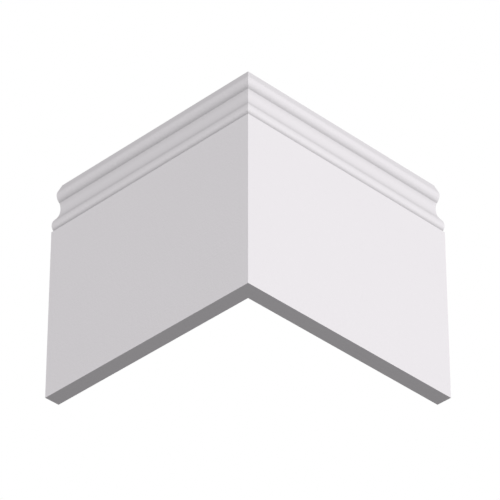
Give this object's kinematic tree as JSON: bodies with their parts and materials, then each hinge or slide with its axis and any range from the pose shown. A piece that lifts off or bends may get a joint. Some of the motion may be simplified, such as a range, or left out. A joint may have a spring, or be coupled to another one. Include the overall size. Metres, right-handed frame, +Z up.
{
  "type": "skirting board outside corner",
  "caption": "White moulded skirting board mitred around an outside wall corner, with a chamfered top, beads and a cove above a plain face.",
  "frame": {"origin": "foot of the wall's outside corner: where both backs and the underside meet, at the inner end of the mitre", "axes": "+Z up; +X along the right board and +Y along the left board, each running away from the corner; +Y points into the wall behind the right board and +X into the wall behind the left board"},
  "size_m": [0.2344, 0.2344, 0.22],
  "materials": {
    "board": "smooth white primer, matt"
  },
  "bodies": {
    "root": {"right_board": "board", "left_board": "board"}
  },
  "joints": []
}
